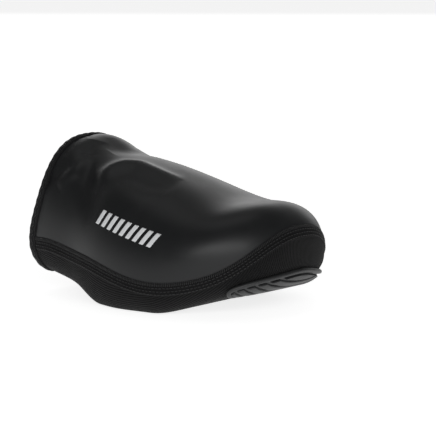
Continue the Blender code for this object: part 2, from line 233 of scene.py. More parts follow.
# %% Tables of the form
LENGTH = 168.0
BALL = 104.0
REST_START = 66.0
TOE_SQUARE = 2.35
TOP_SQUARE = 2.5
EDGE_SQUARE = 2 / 0.9
LEAN_REACH = 70.0
FAN_SHARE = 0.45

Width = namedtuple("Width", "along outer inner")
WIDTHS = (
    Width(0, 41.2, 38.0),
    Width(20, 43.6, 41.0),
    Width(42, 45.0, 45.0),
    Width(REST_START, 51.3, 49.5),
    Width(BALL, 56.7, 53.0),
)

Section = namedtuple("Section", "along widest edge top centre seam")
SECTIONS = (
    Section(0, 16.3, 14.0, 87.5, 2.0, 31.2),
    Section(20, 19.1, 13.6, 86.3, 0.5, 32.0),
    Section(42, 20.3, 14.0, 80.5, -1.5, 29.2),
    Section(REST_START, 19.6, 10.0, 76.5, -2.5, 26.2),
    Section(BALL, 20.1, 12.3, 66.2, -1.0, 18.8),
    Section(132, 20.1, 13.3, 61.8, 2.0, 20.8),
    Section(156, 15.4, 12.5, 69.8, 5.0, 33.5),
    Section(LENGTH, 10.7, 12.9, 71.0, 7.0, 47.8),
)

Rise = namedtuple("Rise", "along height")
ARCH_RISE = (Rise(0, 12.7), Rise(20, 10.5), Rise(42, 5.8), Rise(REST_START, 0))
TOE_SPRING = (Rise(BALL, 0), Rise(132, 6.9), Rise(156, 15.1), Rise(LENGTH, 19.4))

Lean = namedtuple("Lean", "height forward")
COLLAR_LEAN = (Lean(0, 10.6), Lean(16, 5.9), Lean(36, 9.2), Lean(56, 12.6), Lean(76, 13.6))


def spline(table, name, flat_start=False, flat_end=False):
    """Cubic spline of one column of a table over its first column.

    Its second slopes solve the usual three-term system; an end is either straight or level.
    """
    knots = np.array([row[0] for row in table], float)
    values = np.array([getattr(row, name) for row in table], float)
    span = np.diff(knots)
    slope = np.diff(values) / span
    count = len(knots)
    system = np.eye(count)
    wanted = np.zeros(count)
    if flat_start:
        system[0, :2] = 2 * span[0], span[0]
        wanted[0] = 6 * slope[0]
    if flat_end:
        system[-1, -2:] = span[-1], 2 * span[-1]
        wanted[-1] = -6 * slope[-1]
    for i in range(1, count - 1):
        system[i, i - 1 : i + 2] = span[i - 1], 2 * (span[i - 1] + span[i]), span[i]
        wanted[i] = 6 * (slope[i] - slope[i - 1])
    bend = np.linalg.solve(system, wanted)

    def at(x):
        x = np.clip(x, knots[0], knots[-1])
        i = np.clip(np.searchsorted(knots, x) - 1, 0, count - 2)
        after = x - knots[i]
        before = knots[i + 1] - x
        cubic = (bend[i] * before**3 + bend[i + 1] * after**3) / (6 * span[i])
        start = (values[i] / span[i] - bend[i] * span[i] / 6) * before
        return cubic + start + (values[i + 1] / span[i] - bend[i + 1] * span[i] / 6) * after

    return at


outer_width = spline(WIDTHS, "outer", flat_end=True)
inner_width = spline(WIDTHS, "inner", flat_end=True)
widest_height = spline(SECTIONS, "widest")
edge_width = spline(SECTIONS, "edge")
top_height = spline(SECTIONS, "top")
centre_line = spline(SECTIONS, "centre")
seam_height = spline(SECTIONS, "seam")
arch_rise = spline(ARCH_RISE, "height", flat_end=True)
toe_spring = spline(TOE_SPRING, "height", flat_start=True)
collar_lean = spline(COLLAR_LEAN, "forward")
print("width over the ball in mm:", float(outer_width(BALL) + inner_width(BALL)))

# %% [markdown]
# ## One line of the skin for each column
#
# The skin could be one ring of points for each section, but rings bunch up at the toe. Instead
# every column is a line that starts under the foot, rolls round the edge of the sole and climbs to
# the top. Behind the ball columns stand side by side; ahead of it they fan round the toe from one
# point. Column -1 is the outer collar edge, 0 the tip of the toe and 1 the inner collar edge.

# %% Lines of the skin
SAMPLES = 60


def sole_rise(along):
    """Height of the underside: arch behind REST_START, nothing to the ball, toe spring ahead."""
    rear = np.where(along < REST_START, arch_rise(along), 0.0)
    return np.where(along > BALL, toe_spring(along), rear)


def eased(along):
    """Place along the cover, slowed with 3s^2 - 2s^3 at the ball and the tip."""
    for start, end in ((REST_START, BALL), (BALL, LENGTH)):
        share = np.clip((along - start) / (end - start), 0, 1)
        smooth = start + (end - start) * share * share * (3 - 2 * share)
        along = np.where((along > start) & (along <= end), smooth, along)
    return along


def column_at(station, side):
    """Column number of a station behind the ball."""
    return side * (1 - (1 - FAN_SHARE) * np.asarray(station) / BALL)


def skin_lines(column):
    """Dense lines of the skin, with the distance along each, and where its outline lies.

    The toe's outline is a superellipse. Each line is a flat bottom, a quarter superellipse up to
    the widest height and another over to the top, then raised by the arch or the toe spring.
    """
    column = np.asarray(column, float)[:, None]
    side = np.where(column < 0, -1.0, 1.0)
    turn = np.clip(np.abs(column) / FAN_SHARE, 0, 1) * np.pi / 2
    station = BALL * np.clip((1 - np.abs(column)) / (1 - FAN_SHARE), 0, 1)
    half = np.where(side < 0, outer_width(station), inner_width(station))
    forward = np.cos(turn)
    toe_part = (forward / (LENGTH - BALL)) ** TOE_SQUARE
    side_part = (np.sin(turn) / half) ** TOE_SQUARE
    reach = (toe_part + side_part) ** (-1 / TOE_SQUARE)
    outline = station + reach * forward

    place = eased(outline)
    widest = widest_height(place)
    edge = edge_width(place)
    power = 2 / TOP_SQUARE
    step = np.linspace(0, 1, SAMPLES, endpoint=False)[None]
    round_up = step * np.pi / 2
    over = np.linspace(0, np.pi / 2, 2 * SAMPLES)[None]
    across_top = reach * np.cos(over) ** power
    across_top[:, -1] = 0
    across_edge = reach - edge * (1 - np.sin(round_up) ** (2 / EDGE_SQUARE))
    across = np.concatenate([step * (reach - edge), across_edge, across_top], axis=1)
    x = station + across * forward
    y = side * across * np.sin(turn)
    top = top_height(x[:, 2 * SAMPLES :]) - sole_rise(x[:, 2 * SAMPLES :])
    edge_rise = widest * (1 - np.cos(round_up) ** (2 / EDGE_SQUARE))
    top_rise = widest + (top - widest) * np.sin(over) ** power
    height = np.concatenate([0 * step * widest, edge_rise, top_rise], axis=1)
    fade = np.clip(1 - x / LEAN_REACH, 0, 1) ** 2
    points = np.stack(
        [x + collar_lean(height) * fade, y + centre_line(x), height + sole_rise(x)], axis=2
    )
    legs = np.linalg.norm(np.diff(points, axis=1), axis=2)
    arc = np.concatenate([np.zeros((len(points), 1)), np.cumsum(legs, axis=1)], axis=1)
    return points, arc, outline[:, 0]


print("toe tip at", skin_lines([0.0])[2].round(1), "mm from the rear edge")

# %% [markdown]
# ## The skin as a table
#
# Every piece asks for many points of the skin, so it is worked out once, as a fine table over the
# columns and over the share of each column's line, and then read between its entries. The normals
# come from the table's own slopes along the columns and up them.

# %% Table of points and normals
COLUMNS = np.linspace(-1, 1, 1601)
SHARES = np.linspace(0, 1, 401)


def read_lines(lines, arcs, wanted):
    """Points at wanted distances along each line, with one interpolation over all the lines."""
    shift = np.arange(len(arcs))[:, None] * (arcs.max() + 1)
    places = (wanted + shift).ravel()
    axes = [np.interp(places, (arcs + shift).ravel(), lines[..., i].ravel()) for i in range(3)]
    return np.stack(axes, axis=1).reshape(*wanted.shape, 3)


skin_dense, skin_arcs, skin_outline = skin_lines(COLUMNS)
FULL_ARC = skin_arcs[:, -1]
FLAT_ARC = skin_arcs[:, SAMPLES]
SKIN = read_lines(skin_dense, skin_arcs, SHARES[None] * FULL_ARC[:, None])

slope_along = np.gradient(SKIN, axis=0)
slope_up = np.gradient(SKIN, axis=1)
NORMALS = np.cross(slope_along, slope_up)
NORMALS /= np.linalg.norm(NORMALS, axis=2, keepdims=True) + 1e-12
in_fan = np.abs(COLUMNS) <= FAN_SHARE
for pole, beside in ((0, 2), (-1, -3)):
    ring = NORMALS[:, beside]
    mean = ring[in_fan].mean(axis=0)
    across_pair = ring + ring[::-1]
    across_pair[in_fan] = mean
    NORMALS[:, pole] = across_pair / np.linalg.norm(across_pair, axis=1, keepdims=True)
    NORMALS[:, (pole + beside) // 2] = NORMALS[:, pole]

rising = np.maximum.accumulate(skin_dense[:, SAMPLES:, 2], axis=1)
SEAM_ARC = np.array(
    [
        np.interp(wanted, heights, arc)
        for wanted, heights, arc in zip(seam_height(skin_outline), rising, skin_arcs[:, SAMPLES:])
    ]
)
print("skin table:", SKIN.shape, "seam at", SEAM_ARC.min().round(1), "to", SEAM_ARC.max().round(1))


# %% Read the table
def along_columns(values, column):
    """A value of the table at any column number, straight between the columns."""
    return np.interp(column, COLUMNS, values)


def read_table(table, column, arc):
    """Bilinear reading: a weighted mean of the four entries round each place."""
    column = np.clip(column, -1, 1)
    i = (column + 1) / 2 * (len(COLUMNS) - 1)
    j = np.clip(arc / along_columns(FULL_ARC, column), 0, 1) * (len(SHARES) - 1)
    i0 = np.minimum(i.astype(int), len(COLUMNS) - 2)
    j0 = np.minimum(j.astype(int), len(SHARES) - 2)
    i_part = (i - i0)[..., None]
    j_part = (j - j0)[..., None]
    low = table[i0, j0] * (1 - i_part) + table[i0 + 1, j0] * i_part
    high = table[i0, j0 + 1] * (1 - i_part) + table[i0 + 1, j0 + 1] * i_part
    return low * (1 - j_part) + high * j_part


def skin_at(column, arc, out=0.0):
    """Points over the skin: its point plus the unit normal times the distance out."""
    column, arc, out = np.broadcast_arrays(np.asarray(column, float), arc, out)
    normal = read_table(NORMALS, column, arc)
    normal /= np.linalg.norm(normal, axis=-1, keepdims=True)
    return read_table(SKIN, column, arc) + normal * out[..., None]


def flat_pattern(column, arc):
    """Place on the cut fabric laid flat: the fan's columns are rays from the ball."""
    column, arc = np.broadcast_arrays(np.asarray(column, float), arc)
    turn = np.clip(np.abs(column) / FAN_SHARE, 0, 1) * np.pi / 2
    station = BALL * np.clip((1 - np.abs(column)) / (1 - FAN_SHARE), 0, 1)
    side = np.where(column < 0, -1, 1)
    return np.stack([station + arc * np.cos(turn), side * arc * np.sin(turn)], axis=-1)


print("top of the collar in mm:", skin_at(-1.0, FULL_ARC[0]).round(1))

# %% [markdown]
# ## Meshes from grids
#
# A grid of points becomes quads, and several grids may share one object. Points that fall together,
# as on the centre line and at the fan's two poles, are merged, so that no seam is left open. What
# the materials follow, such as the flat pattern, is kept as an attribute of the points.

# %% Helpers for meshes
def grid_quads(rows, columns, ring=False):
    """Corners (i, k), (i + 1, k), (i + 1, k + 1), (i, k + 1) of every cell; a ring closes in i."""
    first = np.arange(rows if ring else rows - 1)[:, None]
    after = (first + 1) % rows
    step = np.arange(columns - 1)[None]
    corners = (
        first * columns + step,
        after * columns + step,
        after * columns + step + 1,
        first * columns + step + 1,
    )
    return np.stack([corner.ravel() for corner in corners], axis=1)


def gathered(parts):
    """Joins parts of points and faces to one list of each."""
    points = np.concatenate([part[0] for part in parts])
    starts = np.cumsum([0] + [len(part[0]) for part in parts[:-1]])
    faces = np.concatenate([part[1] + start for part, start in zip(parts, starts)])
    return points, faces


def new_piece(name, points, faces, material, node=None, slot=None, merge=0.01, **attributes):
    """Object of points in millimetres and faces, smooth, merged and riding on the part's body."""
    mesh = bpy.data.meshes.new(name)
    mesh.vertices.add(len(points))
    mesh.vertices.foreach_set("co", in_frame(points).astype(np.float32).ravel())
    mesh.loops.add(faces.size)
    mesh.loops.foreach_set("vertex_index", faces.ravel().astype(np.int32))
    mesh.polygons.add(len(faces))
    mesh.polygons.foreach_set("loop_start", np.arange(0, faces.size, faces.shape[1], dtype=np.int32))
    for label, values in attributes.items():
        kind = "FLOAT" if values.ndim == 1 else "FLOAT_VECTOR"
        attribute = mesh.attributes.new(label, kind, "POINT")
        if kind == "FLOAT":
            attribute.data.foreach_set("value", values.astype(np.float32))
        else:
            flat = np.c_[values, np.zeros(len(values))].astype(np.float32)
            attribute.data.foreach_set("vector", flat.ravel())
    mesh.update(calc_edges=True)
    mesh.validate()
    if merge:
        work = bmesh.new()
        work.from_mesh(mesh)
        bmesh.ops.remove_doubles(work, verts=work.verts, dist=merge * MM)
        bmesh.ops.dissolve_degenerate(work, edges=work.edges, dist=1e-3 * merge * MM)
        work.to_mesh(mesh)
        work.free()
    mesh.shade_smooth()
    mesh.materials.append(material)
    piece = bpy.data.objects.new(name, mesh)
    bpy.context.scene.collection.objects.link(piece)
    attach(piece, "root")
    if node:
        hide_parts(node)
    return piece


def triangles(piece):
    """How many triangles a piece has with its modifiers."""
    shaped = piece.evaluated_get(bpy.context.evaluated_depsgraph_get()).data
    return sum(len(face.vertices) - 2 for face in shaped.polygons)


print("helpers are ready")

# %% [markdown]
# ## Coated stretch fabric
#
# The upper is a knitted stretch fabric with a polyurethane film on its outside. The film was
# spread on and pressed, so it is smooth with a very fine grain, and it shines softly: broad blurred
# reflections over near black. The grain is about a third of a millimetre, finer than a pixel here,
# so it only breaks up the highlight.

# %% Material of the upper
GRAIN_SIZE = 0.35
MOTTLE_SIZE = 9.0


def coated_stretch_fabric():
    """Knit with a pressed polyurethane film: dark, satin, with a fine grain and faint mottling."""
    material, tree, shader = new_material("polyurethane_coated_knit_pressed")
    place = add_node(tree, "ShaderNodeTexCoord").outputs["Object"]
    grain = add_node(
        tree, "ShaderNodeTexNoise", {"Vector": place, "Scale": 1 / (GRAIN_SIZE * MM), "Detail": 3.0}
    )
    mottle = add_node(
        tree, "ShaderNodeTexNoise", {"Vector": place, "Scale": 1 / (MOTTLE_SIZE * MM), "Detail": 2.0}
    )
    colour = add_node(
        tree,
        "ShaderNodeMix",
        {"Factor": mottle.outputs["Fac"], "A": linear("#141516"), "B": linear("#191a1b")},
        data_type="RGBA",
    )
    tree.links.new(colour.outputs["Result"], shader.inputs["Base Color"])
    rough = add_node(
        tree,
        "ShaderNodeMapRange",
        {"Value": mottle.outputs["Fac"], "To Min": 0.36, "To Max": 0.44},
    )
    tree.links.new(rough.outputs["Result"], shader.inputs["Roughness"])
    bump = add_node(
        tree,
        "ShaderNodeBump",
        {"Height": grain.outputs["Fac"], "Strength": 0.25, "Distance": 0.05 * MM},
    )
    tree.links.new(bump.outputs["Normal"], shader.inputs["Normal"])
    shader.inputs["IOR"].default_value = 1.4
    return material


upper_material = coated_stretch_fabric()
print("made", upper_material.name)

# %% [markdown]
# ## Creases of the empty upper
#
# With no shoe inside, the sleeve sinks behind the instep and keeps a few soft folds. Each fold is
# given as a path of points on the cover, a width on each side of the path and a height,
# above zero for a ridge and below it for a trough. The push along the normal is the height times
# a bell curve of the distance to the path, and it fades out towards both ends of the path.

# %% Creases, listed
Crease = namedtuple("Crease", "height near_width far_width path")
CREASES = (
    # the long trough from the top of the instep down the outer side
    Crease(-2.6, 6.0, 6.0, (
        (28.0, -6.0, 86.0), (32.2, -15.6, 82.7), (40.5, -27.6, 74.8), (44.3, -32.7, 70.0),
        (48.8, -37.4, 64.6), (55.8, -42.8, 57.8), (66.0, -46.5, 51.0),
    )),
    # the short bright fold behind it, and the hollow between that fold and the tape
    Crease(1.7, 4.5, 4.5, (
        (27.0, -38.5, 63.0), (31.5, -36.1, 67.5), (36.2, -33.0, 70.9), (36.8, -29.5, 74.2),
        (36.8, -25.6, 77.1), (34.0, -20.0, 80.5),
    )),
    Crease(-1.3, 5.0, 5.0, ((14.0, -37.5, 63.0), (23.4, -34.7, 70.0), (29.0, -31.0, 74.5))),
    # the crescent fold in front of the trough, and the shallow below it
    Crease(2.0, 4.5, 8.0, (
        (57.5, -40.0, 62.0), (56.4, -33.0, 69.4), (55.8, -28.8, 72.2), (56.4, -25.1, 74.1),
        (57.6, -21.3, 75.4), (59.5, -17.2, 76.3), (62.6, -14.9, 76.3), (66.3, -12.4, 76.0),
        (74.1, -13.0, 74.3), (81.2, -12.7, 72.5), (95.0, -10.0, 69.0),
    )),
    Crease(-1.2, 8.0, 8.0, (
        (60.0, -31.0, 72.0), (71.5, -27.0, 71.5), (79.3, -27.8, 69.6), (87.1, -28.3, 67.5),
        (100.0, -27.0, 64.5),
    )),
    Crease(1.2, 12.0, 12.0, ((60.0, -42.0, 60.0), (78.0, -44.6, 58.4), (96.0, -46.0, 56.0))),
    # the hump and the drop of the top line
    Crease(1.3, 10.0, 10.0, ((16.0, 4.0, 88.0), (28.0, 9.0, 85.0), (38.0, 15.0, 80.0))),
    Crease(-1.0, 6.0, 6.0, ((43.0, -10.0, 79.0), (46.0, 6.0, 79.0), (48.0, 24.0, 75.0))),
)


def bell(distance, width):
    """exp of minus the squared distance over the squared width."""
    return np.exp(-((distance / width) ** 2))


def crease_push(points, normals):
    """Sum over the creases of height times bell curve, in millimetres along the normal."""
    push = np.zeros(points.shape[:-1])
    for crease in CREASES:
        path = np.array(crease.path)
        legs = np.diff(path, axis=0)
        lengths = np.linalg.norm(legs, axis=1)
        starts = np.concatenate([[0], np.cumsum(lengths)[:-1]])
        best = np.full(points.shape[:-1], 1e9)
        place = np.zeros_like(best)
        side = np.zeros_like(best)
        for start, leg, length, before in zip(path, legs, lengths, starts):
            share = np.clip(((points - start) @ leg) / length**2, 0, 1)
            offset = points - (start + share[..., None] * leg)
            distance = np.linalg.norm(offset, axis=-1)
            nearer = distance < best
            best = np.where(nearer, distance, best)
            place = np.where(nearer, before + share * length, place)
            turned = np.cross(normals, leg / length)
            side = np.where(nearer, np.sum(turned * offset, axis=-1), side)
        width = np.where(side > 0, crease.near_width, crease.far_width)
        ends = np.sin(np.pi * np.clip(place / lengths.sum(), 0.0, 1.0)) ** 0.7
        push += crease.height * bell(best, width) * ends
    return push


print("creases placed:", len(CREASES))

# %% [markdown]
# ## The upper
#
# One wall from the seam over the top, closed at the toe and open at the collar. Its grid follows
# the columns, and the Solidify modifier gives it the fabric's real thickness inwards.

# %% Build the upper
UPPER_WALL = 1.8
GAP = 0.3
REAR_EDGE = 1.6


def both_sides(stations, fan_steps):
    """Column numbers from the outer collar edge round the toe to the inner collar edge."""
    outer = np.concatenate([column_at(stations, -1), -np.linspace(FAN_SHARE, 0, fan_steps)])
    return np.concatenate([outer, -outer[:-1][::-1]])


def with_wall(piece, thickness):
    """Gives a skin its thickness inwards."""
    wall = piece.modifiers.new("wall", "SOLIDIFY")
    wall.thickness = thickness * MM
    wall.offset = -1
    return piece


upper_columns = both_sides(np.linspace(REAR_EDGE, BALL, 84)[:-1], 64)[:, None]
upper_share = np.linspace(0, 1, 132)[None]
upper_start = along_columns(SEAM_ARC, upper_columns) + GAP / 2
upper_arc = upper_start + upper_share * (along_columns(FULL_ARC, upper_columns) - upper_start)
upper_columns = np.broadcast_to(upper_columns, upper_arc.shape)
upper_base = skin_at(upper_columns, upper_arc)
upper_normal = skin_at(upper_columns, upper_arc, 1.0) - upper_base
upper_points = upper_base + upper_normal * crease_push(upper_base, upper_normal)[..., None]
upper = new_piece(
    "coated_upper",
    upper_points.reshape(-1, 3),
    grid_quads(*upper_arc.shape),
    upper_material,
    node="upper",
    slot="coated_stretch_fabric",
    merge=0.05,
    flat_pattern=flat_pattern(upper_columns, upper_arc).reshape(-1, 2),
)
with_wall(upper, UPPER_WALL)
print("upper triangles:", triangles(upper))

# %% [markdown]
# ## Ribbed woven fabric
#
# The sole is a tough woven fabric with raised ribs, each about 1.4 mm wide, that run lengthwise on
# the cut pattern. Laid round the toe they turn diagonal, as the photograph shows, because the
# pattern is flat and the toe is not. The ribs follow the flat pattern attribute. Fine threads cross
# every rib. Its colour carries painted shade: the hollows between ribs, and between the loops of
# the seam strip, are painted darker than their tops.

# %% Material of the sole
RIB_PITCH = 1.4
THREAD_PITCH = 0.8
THREAD_RELIEF = 0.22
LOOP_PITCH = 1.1
SEAM_BAND = 6.5
TAPE_WIDTH = 5.5
BAND_RAMP = 0.8


def ribbed_woven_fabric():
    """Woven ribs: a sine across the flat pattern, crossed by threads that shift from rib to rib, with
    painted shade in the hollows.
    """
    material, tree, shader = new_material("polyester_rib_woven")
    pattern = add_node(tree, "ShaderNodeAttribute", attribute_name="flat_pattern")
    flat = add_node(tree, "ShaderNodeSeparateXYZ", {"Vector": pattern.outputs["Vector"]})
    below = add_node(tree, "ShaderNodeAttribute", attribute_name="below_seam")

    rib_count = add_node(
        tree, "ShaderNodeMath", {0: flat.outputs["Y"], 1: RIB_PITCH}, operation="DIVIDE"
    ).outputs[0]
    rib_turn = add_node(
        tree, "ShaderNodeMath", {0: rib_count, 1: 2 * np.pi}, operation="MULTIPLY"
    ).outputs[0]
    rib_wave = add_node(tree, "ShaderNodeMath", {0: rib_turn}, operation="SINE").outputs[0]
    rib = add_node(
        tree, "ShaderNodeMath", {0: rib_wave, 1: 0.5, 2: 0.5}, operation="MULTIPLY_ADD"
    ).outputs[0]

    # each rib's threads start half a thread after those of the rib beside it
    rib_later = add_node(
        tree, "ShaderNodeMath", {0: rib_count, 1: 0.25}, operation="ADD"
    ).outputs[0]
    rib_number = add_node(tree, "ShaderNodeMath", {0: rib_later}, operation="FLOOR").outputs[0]
    shift = add_node(
        tree, "ShaderNodeMath", {0: rib_number, 1: np.pi}, operation="MULTIPLY"
    ).outputs[0]
    thread_turn = add_node(
        tree,
        "ShaderNodeMath",
        {0: flat.outputs["X"], 1: 2 * np.pi / THREAD_PITCH, 2: shift},
        operation="MULTIPLY_ADD",
    ).outputs[0]
    thread_wave = add_node(tree, "ShaderNodeMath", {0: thread_turn}, operation="SINE").outputs[0]
    thread = add_node(
        tree, "ShaderNodeMath", {0: thread_wave, 1: THREAD_RELIEF}, operation="MULTIPLY"
    ).outputs[0]
    height = add_node(
        tree, "ShaderNodeMath", {0: thread, 1: rib, 2: rib}, operation="MULTIPLY_ADD"
    ).outputs[0]

    # the doubled strip has rows of knitted loops along the seam instead
    in_band = add_node(
        tree, "ShaderNodeMath", {0: below.outputs["Fac"], 1: SEAM_BAND}, operation="LESS_THAN"
    ).outputs[0]
    band_turn = add_node(
        tree,
        "ShaderNodeMath",
        {0: below.outputs["Fac"], 1: 2 * np.pi / LOOP_PITCH},
        operation="MULTIPLY",
    ).outputs[0]
    band_wave = add_node(tree, "ShaderNodeMath", {0: band_turn}, operation="SINE").outputs[0]
    band = add_node(
        tree, "ShaderNodeMath", {0: band_wave, 1: 0.25, 2: 0.5}, operation="MULTIPLY_ADD"
    ).outputs[0]
    relief_and_painted_shade = add_node(tree, "ShaderNodeMix", {"Factor": in_band, "A": height, "B": band})
    # painted shade: the colour is darker where the relief is low, in the hollows between ribs,
    # threads and loops
    colour = add_node(
        tree,
        "ShaderNodeMix",
        {"Factor": relief_and_painted_shade.outputs["Result"], "A": linear("#020202"), "B": linear("#101011")},
        data_type="RGBA",
    )
    tree.links.new(colour.outputs["Result"], shader.inputs["Base Color"])
    bump = add_node(
        tree,
        "ShaderNodeBump",
        {"Height": relief_and_painted_shade.outputs["Result"], "Strength": 0.8, "Distance": 0.45 * MM},
    )
    tree.links.new(bump.outputs["Normal"], shader.inputs["Normal"])
    shader.inputs["Roughness"].default_value = 0.78
    shader.inputs["Specular IOR Level"].default_value = 0.15
    shader.inputs["Sheen Weight"].default_value = 0.03
    shader.inputs["Sheen Roughness"].default_value = 0.5
    return material


sole_material = ribbed_woven_fabric()
print("ribs across the ball:", round(2 * along_columns(SEAM_ARC, -FAN_SHARE) / RIB_PITCH))

# %% [markdown]
# ## The sole
#
# The sole starts under the foot, where a customary opening leaves room for the cleat, rolls round
# the edge and climbs to the seam. Its top strip stands half a millimetre proud: there the fabric
# lies double under the flatlock stitches.

# %% Build the sole
SOLE_WALL = 1.8
SEAM_STEP = 0.5
CLEAT_MIDDLE = 86.0
CLEAT_LENGTH = 60.0
CLEAT_WIDTH = 54.0
CLEAT_SQUARE = 2.6


def cleat_arc(column):
    """Distance under the foot at which each column leaves the opening, a superellipse."""
    share = np.linspace(0, 1, 400)[None]
    arc = share * 40.0
    flat = flat_pattern(column[:, None], arc)
    inside = (np.abs(flat[..., 0] - CLEAT_MIDDLE) / (CLEAT_LENGTH / 2)) ** CLEAT_SQUARE
    inside = inside + (np.abs(flat[..., 1]) / (CLEAT_WIDTH / 2)) ** CLEAT_SQUARE
    return np.where(inside < 1, arc, 0).max(axis=1)


def band_step(below, column):
    """Height of the doubled strip: up over the first millimetre of its lower edge."""
    lower = np.clip((SEAM_BAND + BAND_RAMP / 2 - below) / BAND_RAMP, 0, 1)
    tape_edge = column_at(REAR_EDGE + TAPE_WIDTH + 0.4, 1)
    clear_of_tape = np.clip((tape_edge - np.abs(column)) / 0.004, 0, 1)
    return SEAM_STEP * lower * lower * (3 - 2 * lower) * clear_of_tape


opening_turn = np.linspace(0, np.pi / 2, 22)
opening_stations = CLEAT_MIDDLE - CLEAT_LENGTH / 2 * np.cos(opening_turn) ** (2 / CLEAT_SQUARE)
behind_opening = np.linspace(REAR_EDGE, opening_stations[0], 40)[:-1]
ahead_of_middle = np.linspace(CLEAT_MIDDLE, BALL, 15)[1:-1]
stations = np.concatenate([behind_opening, opening_stations, ahead_of_middle])
sole_columns = both_sides(stations, 64)
sole_end = along_columns(SEAM_ARC, sole_columns) - GAP / 2
sole_start = cleat_arc(sole_columns)
sole_flat = np.maximum(along_columns(FLAT_ARC, sole_columns), sole_start + 1.0)
under = np.linspace(0, 1, 22, endpoint=False)[None]
around = np.linspace(0, 1, 56, endpoint=False)[None]
strip = np.concatenate([np.linspace(0, 0.8, 5), np.linspace(1.6, SEAM_BAND, 8)])[None]
strip_start = sole_end - SEAM_BAND - BAND_RAMP / 2
sole_arc = np.concatenate(
    [
        sole_start[:, None] + under * (sole_flat - sole_start)[:, None],
        sole_flat[:, None] + around * (strip_start - sole_flat)[:, None],
        strip_start[:, None] + strip * (sole_end - strip_start)[:, None] / SEAM_BAND,
    ],
    axis=1,
)
column_grid = np.broadcast_to(sole_columns[:, None], sole_arc.shape)
below_seam = sole_end[:, None] - sole_arc
sole = new_piece(
    "ribbed_sole",
    skin_at(column_grid, sole_arc, band_step(below_seam, column_grid)).reshape(-1, 3),
    grid_quads(*sole_arc.shape),
    sole_material,
    node="sole",
    slot="ribbed_woven_fabric",
    merge=0.02,
    flat_pattern=flat_pattern(column_grid, sole_arc).reshape(-1, 2),
    below_seam=below_seam.ravel(),
)
with_wall(sole, SOLE_WALL)
print("sole triangles:", triangles(sole))

# %% [markdown]
# ## Sewing thread
#
# The seam and the tape are sewn with a twisted polyester thread. Every stitch is a short bead that
# rises out of the fabric and dives back, so one function makes them all at once.

# %% Stitches
def sewing_thread():
    """Twisted black polyester: soft shine, and a fine wave of the two plies."""
    material, tree, shader = new_material("polyester_thread_twisted")
    place = add_node(tree, "ShaderNodeTexCoord").outputs["Object"]
    plies = add_node(
        tree, "ShaderNodeTexNoise", {"Vector": place, "Scale": 1 / (0.25 * MM), "Detail": 1.0}
    )
    bump = add_node(
        tree,
        "ShaderNodeBump",
        {"Height": plies.outputs["Fac"], "Strength": 0.4, "Distance": 0.08 * MM},
    )
    tree.links.new(bump.outputs["Normal"], shader.inputs["Normal"])
    shader.inputs["Base Color"].default_value = linear("#101011")
    shader.inputs["Roughness"].default_value = 0.55
    return material


thread_material = sewing_thread()


def stitches(starts, ends, outward, radius, lift, sink=0.1, rings=7, sides=6):
    """Beads between starts and ends: a centre line lifted by a sine, with rounded ends.

    The radius is full in the middle and falls with the eighth power of the distance from it.
    """
    share = np.linspace(0, 1, rings)[None, :, None]
    axis = ends - starts
    axis = axis / np.linalg.norm(axis, axis=1, keepdims=True)
    side = np.cross(axis, outward)
    side /= np.linalg.norm(side, axis=1, keepdims=True)
    rise = np.cross(side, axis)
    centre = starts[:, None] * (1 - share) + ends[:, None] * share
    centre = centre + rise[:, None] * (lift * np.sin(np.pi * share) - sink)
    girth = radius * np.sqrt(np.clip(1 - np.abs(2 * share - 1) ** 8, 0, 1))
    angle = np.linspace(0, 2 * np.pi, sides, endpoint=False)
    around = np.cos(angle)[:, None] * side[:, None, None]
    around = around + np.sin(angle)[:, None] * rise[:, None, None]
    points = centre[:, :, None] + girth[..., None] * around
    count = len(starts)
    one = grid_quads(sides, rings, ring=True)
    # the quads of one bead are numbered side by side, and its points ring by ring
    one = (one % rings) * sides + one // rings
    faces = (one[None] + np.arange(count)[:, None, None] * rings * sides).reshape(-1, 4)
    return points.reshape(-1, 3), faces


def seam_places(pitch, below, first=0.0):
    """Columns at even spacing along the seam, between the two edges of the tape."""
    edge = float(column_at(REAR_EDGE + TAPE_WIDTH + 0.2, 1))
    columns = np.linspace(-edge, edge, 3001)
    line = skin_at(columns, along_columns(SEAM_ARC, columns) - below)
    run = np.concatenate([[0], np.cumsum(np.linalg.norm(np.diff(line, axis=0), axis=1))])
    return np.interp(np.arange(first, run[-1], pitch), run, columns)


def on_band(columns, below, out):
    """Points at a distance below the seam, over the doubled strip."""
    step = band_step(np.full_like(columns, below), columns) if below > 0 else 0.0
    return skin_at(columns, along_columns(SEAM_ARC, columns) - below, out + step)


def thread_piece(name, parts):
    """One object of many stitches."""
    points, faces = gathered(parts)
    return new_piece(name, points, faces, thread_material, merge=0.002)


TEETH_PITCH = 1.1
TEETH_LEAN = 0.0006
LINE_PITCH = 2.2
LINE_PLACES = (2.2, 4.1, 5.8)
teeth = seam_places(TEETH_PITCH, 0.0)
teeth_parts = [
    stitches(
        on_band(teeth - TEETH_LEAN, -1.1, 0.12),
        on_band(teeth + TEETH_LEAN, 1.5, 0.12),
        on_band(teeth, 0.2, 1.0) - on_band(teeth, 0.2, 0.0),
        0.26,
        0.12,
    )
]
line_parts = []
for number, below in enumerate(LINE_PLACES):
    places = seam_places(LINE_PITCH, below, first=0.4 * number)
    line_parts.append(
        stitches(
            on_band(places[:-1], below, 0.1),
            on_band(places[:-1] * 0.14 + places[1:] * 0.86, below, 0.1),
            on_band(places[:-1], below, 1.0) - on_band(places[:-1], below, 0.0),
            0.27,
            0.15,
        )
    )
seam_teeth = thread_piece("flatlock_teeth", teeth_parts)
seam_lines = thread_piece("flatlock_lines", line_parts)
print("flatlock teeth:", len(teeth), "triangles:", triangles(seam_teeth), triangles(seam_lines))

# %% [markdown]
# ## Collar tape
#
# An elastic tape is folded over the raw rear edge and sewn with a zigzag. It is a ring of sections:
# the section is a rounded U over the edge, and it swells a little between the stitches.

# %% Build the tape
ZIGZAG_PITCH = 5.5
TAPE_ROW = 0.9
TAPE_LOOP = 0.7


